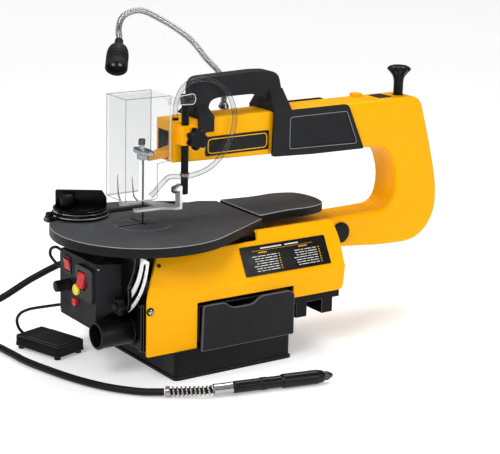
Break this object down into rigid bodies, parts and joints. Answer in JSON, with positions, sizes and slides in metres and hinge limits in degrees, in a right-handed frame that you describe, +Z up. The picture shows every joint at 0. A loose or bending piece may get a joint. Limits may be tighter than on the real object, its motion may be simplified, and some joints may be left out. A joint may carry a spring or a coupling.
{
  "type": "scroll saw",
  "caption": "Bench scroll saw: C-shaped arm over a round tilting table, clear blade guard, hold-down foot, gooseneck lamp, carry handle, control box, foot pedal and flexible shaft.",
  "frame": {"origin": "where the blade's line meets the plane of the tray's underside", "axes": "+Z up along the blade, +Y to the back along the arm, +X to the right as the operator sees it"},
  "size_m": [0.4704, 0.8037, 0.4549],
  "materials": {
    "yellow": "satin powder coat",
    "cast_yellow": "satin paint over a casting",
    "dark_metal": "satin black",
    "table_metal": "fine-ground with a dark painted rim",
    "grey_plastic": "fine texture",
    "black_plastic": "fine texture",
    "black_gloss": "smooth",
    "steel": "bright",
    "blade_steel": "ground",
    "white_scale": "printed",
    "red": "smooth",
    "key_yellow": "smooth",
    "clear": "clear plastic",
    "clear_tube": "clear tube",
    "sheath": "smooth black"
  },
  "bodies": {
    "frame": {"base_tray": "black_plastic", "main_frame": "dark_metal", "right_cover": "yellow", "left_cover": "yellow", "front_plate": "dark_metal", "tilt_scale": "white_scale", "storage_bin": "black_plastic", "label_plate": "black_gloss", "name_plate": "black_gloss", "c_arm_right": "cast_yellow", "c_arm_left": "cast_yellow", "arm_nose": "cast_yellow", "carry_handle": "grey_plastic", "pivot_cap": "black_plastic", "upper_pivot_pin": "steel", "lower_pivot_pin": "steel", "motor": "dark_metal", "shaft_coupling": "steel", "air_hose": "clear_tube", "lamp_base": "steel", "gooseneck": "steel", "lamp_head": "grey_plastic", "control_box": "grey_plastic", "dust_port": "black_plastic", "jumper_cable": "sheath", "flex_shaft": "sheath", "spring_relief": "steel", "handpiece": "black_gloss", "pedal_cord": "sheath", "pedal_base": "black_plastic"},
    "upper_arm": {"upper_arm": "cast_yellow"},
    "lower_arm": {"lower_arm": "dark_metal"},
    "blade": {"blade": "blade_steel", "upper_clamp": "steel", "lower_clamp": "steel"},
    "tension_rod": {"tension_rod": "steel"},
    "connecting_rod": {"connecting_rod": "dark_metal"},
    "motor_shaft": {"motor_shaft": "steel"},
    "collet": {"collet": "steel"},
    "tension_knob": {"tension_knob": "black_plastic"},
    "rod_knob": {"rod_knob": "black_plastic"},
    "table": {"table_plate": "table_metal", "table_insert": "table_metal", "table_leaf": "table_metal", "front_trunnion": "dark_metal", "rear_trunnion": "dark_metal"},
    "tilt_lock_knob": {"tilt_lock_knob": "black_plastic"},
    "guide_bar": {"guide_bar": "dark_metal"},
    "guide_head": {"guide_head": "dark_metal"},
    "guide_knob": {"guide_knob": "black_plastic"},
    "hold_down_rod": {"hold_down_rod": "dark_metal"},
    "hold_down_foot": {"hold_down_foot": "steel"},
    "blade_guard": {"blade_guard": "clear"},
    "storage_door": {"storage_door": "grey_plastic"},
    "light_switch": {"light_switch": "red"},
    "power_paddle": {"power_paddle": "red"},
    "safety_key": {"safety_key": "key_yellow"},
    "reset_button": {"reset_button": "red"},
    "speed_dial": {"speed_dial": "black_plastic"},
    "pedal_plate": {"pedal_plate": "grey_plastic"}
  },
  "joints": [
    {"name": "upper_arm_rock", "type": "hinge", "parent": "frame", "child": "upper_arm", "pos_m": [0, 0.307, 0.288], "axis": [-1, 0, 0], "range_deg": [0, 2.98]},
    {"name": "lower_arm_rock", "type": "hinge", "parent": "frame", "child": "lower_arm", "pos_m": [0, 0.307, 0.134], "axis": [-1, 0, 0], "range_deg": [0, 2.98]},
    {"name": "blade_upright", "type": "hinge", "parent": "upper_arm", "child": "blade", "pos_m": [0, 0, 0.27], "axis": [1, 0, 0], "range_deg": [0, 2.98]},
    {"name": "tension_rod_upright", "type": "hinge", "parent": "upper_arm", "child": "tension_rod", "pos_m": [0, 0.424, 0.288], "axis": [1, 0, 0], "range_deg": [0, 2.98]},
    {"name": "connecting_rod_upright", "type": "hinge", "parent": "lower_arm", "child": "connecting_rod", "pos_m": [-0.017, 0.03, 0.134], "axis": [1, 0, 0], "range_deg": [0, 2.98]},
    {"name": "motor_spin", "type": "hinge", "parent": "frame", "child": "motor_shaft", "pos_m": [0, 0.03, 0.078], "axis": [1, 0, 0], "continuous": true},
    {"name": "collet_spin", "type": "hinge", "parent": "frame", "child": "collet", "pos_m": [0.2146, 0.1437, 0.0096], "axis": [0.2008, 0.9796, 0], "continuous": true},
    {"name": "tension_knob_turn", "type": "hinge", "parent": "frame", "child": "tension_knob", "pos_m": [0, 0.424, 0.35], "axis": [0, 0, 1], "range_deg": [-180, 180]},
    {"name": "rod_knob_turn", "type": "hinge", "parent": "frame", "child": "rod_knob", "pos_m": [0.05, 0.045, 0.301], "axis": [1, 0, 0], "range_deg": [-180, 180]},
    {"name": "table_tilt", "type": "hinge", "parent": "frame", "child": "table", "pos_m": [0, 0, 0.181], "axis": [0, -1, 0], "range_deg": [0, 16]},
    {"name": "tilt_lock_turn", "type": "hinge", "parent": "table", "child": "tilt_lock_knob", "pos_m": [0.066, -0.076, 0.097], "axis": [0, -1, 0], "range_deg": [-180, 180]},
    {"name": "guide_slide", "type": "slide", "parent": "table", "child": "guide_bar", "axis": [0, 1, 0], "range_m": [-0.02, 0.04]},
    {"name": "guide_swivel", "type": "hinge", "parent": "guide_bar", "child": "guide_head", "pos_m": [-0.074, -0.053, 0.1835], "axis": [0, 0, 1], "range_deg": [-45, 45]},
    {"name": "guide_knob_turn", "type": "hinge", "parent": "guide_head", "child": "guide_knob", "pos_m": [-0.076, -0.071, 0.2], "axis": [0, 0, 1], "range_deg": [-180, 180]},
    {"name": "hold_down_slide", "type": "slide", "parent": "frame", "child": "hold_down_rod", "axis": [0, 0, 1], "range_m": [-0.016, 0.008]},
    {"name": "foot_tilt", "type": "hinge", "parent": "hold_down_rod", "child": "hold_down_foot", "pos_m": [0.028, 0.034, 0.229], "axis": [0, -1, 0], "range_deg": [0, 16]},
    {"name": "guard_swing", "type": "hinge", "parent": "hold_down_rod", "child": "blade_guard", "pos_m": [0.038, 0.046, 0.349], "axis": [-1, 0, 0], "range_deg": [0, 75]},
    {"name": "storage_door_open", "type": "hinge", "parent": "frame", "child": "storage_door", "pos_m": [0.116, 0.09, 0.0345], "axis": [0, 1, 0], "range_deg": [0, 75]},
    {"name": "light_switch_rock", "type": "hinge", "parent": "frame", "child": "light_switch", "pos_m": [-0.034, -0.092, 0.13], "axis": [-1, 0, 0], "range_deg": [0, 8]},
    {"name": "power_paddle_press", "type": "hinge", "parent": "frame", "child": "power_paddle", "pos_m": [0.013, -0.095, 0.1305], "axis": [1, 0, 0], "range_deg": [0, 6]},
    {"name": "safety_key_pull", "type": "slide", "parent": "frame", "child": "safety_key", "axis": [0, -1, 0], "range_m": [0, 0.012]},
    {"name": "reset_button_press", "type": "slide", "parent": "frame", "child": "reset_button", "axis": [0, 1, 0], "range_m": [0, 0.003], "stiffness_N_per_m": 300},
    {"name": "speed_dial_turn", "type": "hinge", "parent": "frame", "child": "speed_dial", "pos_m": [-0.029, -0.1, 0.104], "axis": [0, -1, 0], "range_deg": [0, 270]},
    {"name": "pedal_press", "type": "hinge", "parent": "frame", "child": "pedal_plate", "pos_m": [-0.0937, -0.1047, 0.018], "axis": [-0.2924, 0.9563, 0], "range_deg": [0, 7], "stiffness_Nm_per_rad": 2, "springref_deg": -5.73}
  ],
  "couplings": [
    {"joint": "lower_arm_rock", "follows": "upper_arm_rock", "ratio": 1},
    {"joint": "blade_upright", "follows": "upper_arm_rock", "ratio": 1},
    {"joint": "tension_rod_upright", "follows": "upper_arm_rock", "ratio": 1},
    {"joint": "connecting_rod_upright", "follows": "upper_arm_rock", "ratio": 1},
    {"joint": "collet_spin", "follows": "motor_spin", "ratio": 1}
  ]
}
